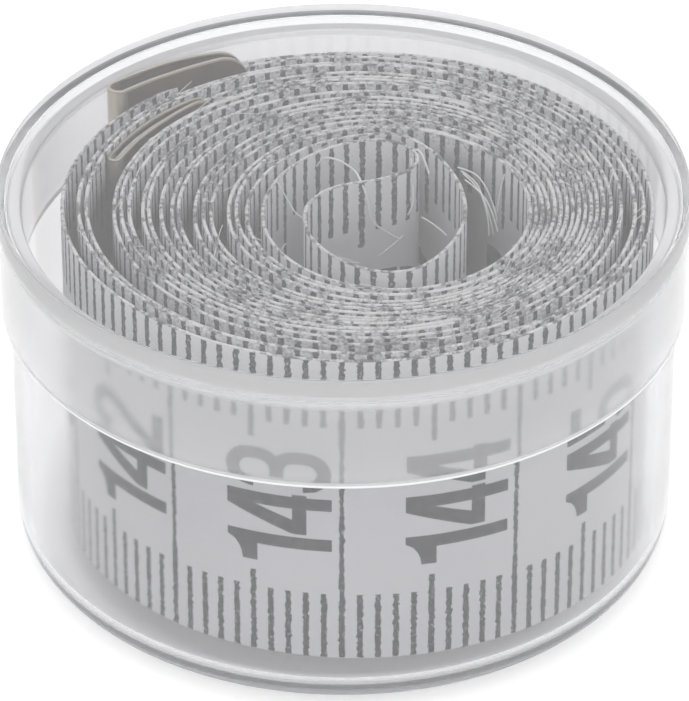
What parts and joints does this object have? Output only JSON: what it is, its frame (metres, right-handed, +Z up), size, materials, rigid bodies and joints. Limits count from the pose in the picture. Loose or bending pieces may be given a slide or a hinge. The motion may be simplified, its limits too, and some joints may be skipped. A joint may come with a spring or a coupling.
{
  "type": "cloth tape measure in a round box",
  "caption": "Cloth tape measure rolled into a flat coil with folded metal tips, kept in a clear round plastic box with a press-on lid.",
  "frame": {"origin": "middle of the box's underside, on the table", "axes": "+Z up along the box's axis, -Y towards the viewer of the picture, +X to their right"},
  "size_m": [0.04, 0.04, 0.0232],
  "materials": {
    "clear_plastic_base": "clear moulded polystyrene, glossy, faintly milky",
    "clear_plastic_lid": "clear moulded polystyrene, glossy, faintly milky",
    "coated_cloth": "white coated cloth with a dark grey printed scale",
    "tip_metal": "folded tinned sheet steel, satin"
  },
  "bodies": {
    "base": {"box_base": "clear_plastic_base"},
    "lid": {"box_lid": "clear_plastic_lid"},
    "coil": {"tape": "coated_cloth", "long_end_tip": "tip_metal", "short_end_tip": "tip_metal"}
  },
  "joints": [
    {"name": "lid_lift", "type": "slide", "parent": "base", "child": "lid", "axis": [0, 0, 1], "range_m": [0, 0.06]},
    {"name": "coil_lift", "type": "slide", "parent": "base", "child": "coil", "axis": [0, 0, 1], "range_m": [0, 0.03]}
  ],
  "couplings": [
    {"joint": "coil_lift", "follows": "lid_lift", "ratio": 0.5}
  ]
}
